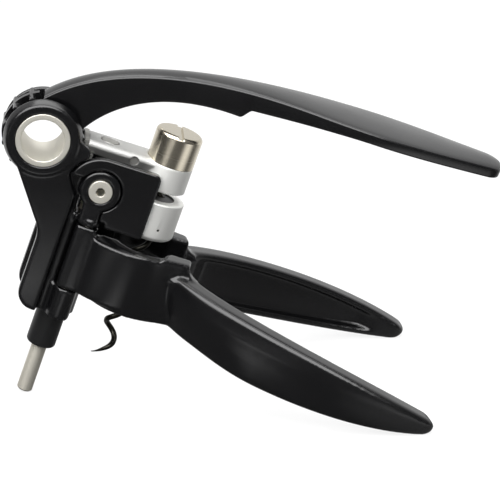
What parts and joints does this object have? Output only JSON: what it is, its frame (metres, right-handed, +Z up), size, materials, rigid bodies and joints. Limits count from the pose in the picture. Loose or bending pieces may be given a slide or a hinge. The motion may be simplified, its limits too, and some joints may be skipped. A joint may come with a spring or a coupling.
{
  "type": "lever corkscrew",
  "caption": "Black lever corkscrew with geared pull lever, sliding worm carriage, guide rod and two hinged clamp grips that close round a bottle neck.",
  "frame": {"origin": "centre of the footprint box, on the surface the corkscrew stands on", "axes": "+Z up, +X towards the tips of the lever and grips, +Y along the lever's axle to the left grip"},
  "size_m": [0.1888, 0.111, 0.1279],
  "materials": {
    "black_enamel": "glossy",
    "zinc_casting": "satin",
    "nickel_plate": "polished",
    "satin_nickel": "satin",
    "stainless_steel": "polished",
    "dark_steel": "satin",
    "black_nylon": "satin"
  },
  "bodies": {
    "frame": {"frame_body": "black_enamel", "guide_sleeve": "black_nylon", "axle_tube": "satin_nickel", "axle_ring": "satin_nickel", "hinge_pin_left": "stainless_steel", "hinge_pin_right": "stainless_steel", "nut_block": "black_enamel", "nut_sleeve": "zinc_casting", "nut_insert": "black_nylon", "nut_grub_screw": "dark_steel", "stud_left": "satin_nickel", "stud_right": "satin_nickel"},
    "lever": {"lever_arm": "black_enamel", "drive_pinion": "black_enamel", "lever_keys": "stainless_steel"},
    "carriage": {"carriage_arm": "zinc_casting", "rack_bar": "stainless_steel", "rack_screws": "dark_steel", "guide_rod": "stainless_steel", "worm_cap": "nickel_plate", "thrust_washer": "satin_nickel", "lock_pin": "stainless_steel"},
    "worm": {"worm": "dark_steel", "worm_head": "stainless_steel"},
    "grip_left": {"grip_left": "black_enamel"},
    "grip_right": {"grip_right": "black_enamel"}
  },
  "joints": [
    {"name": "lever_hinge", "type": "hinge", "parent": "frame", "child": "lever", "pos_m": [-0.07882, 0, 0.1049], "axis": [0, -1, 0], "range_deg": [0, 180]},
    {"name": "carriage_slide", "type": "slide", "parent": "frame", "child": "carriage", "axis": [0.3322, 0, 0.9432], "range_m": [0, 0.0429]},
    {"name": "worm_spin", "type": "hinge", "parent": "carriage", "child": "worm", "pos_m": [-0.03491, 0, 0.08148], "axis": [0.3322, 0, 0.9432], "range_deg": [0, 1072.5]},
    {"name": "grip_left_hinge", "type": "hinge", "parent": "frame", "child": "grip_left", "pos_m": [-0.06728, 0.0102, 0.0579], "axis": [0.3322, 0, 0.9432], "range_deg": [-13.5, 8]},
    {"name": "grip_right_hinge", "type": "hinge", "parent": "frame", "child": "grip_right", "pos_m": [-0.06728, -0.0102, 0.0579], "axis": [-0.3322, 0, -0.9432], "range_deg": [-13.5, 8]}
  ],
  "couplings": [
    {"joint": "carriage_slide", "follows": "lever_hinge", "m_per_rad": 0.01365},
    {"joint": "worm_spin", "follows": "lever_hinge", "ratio": 5.9559}
  ]
}
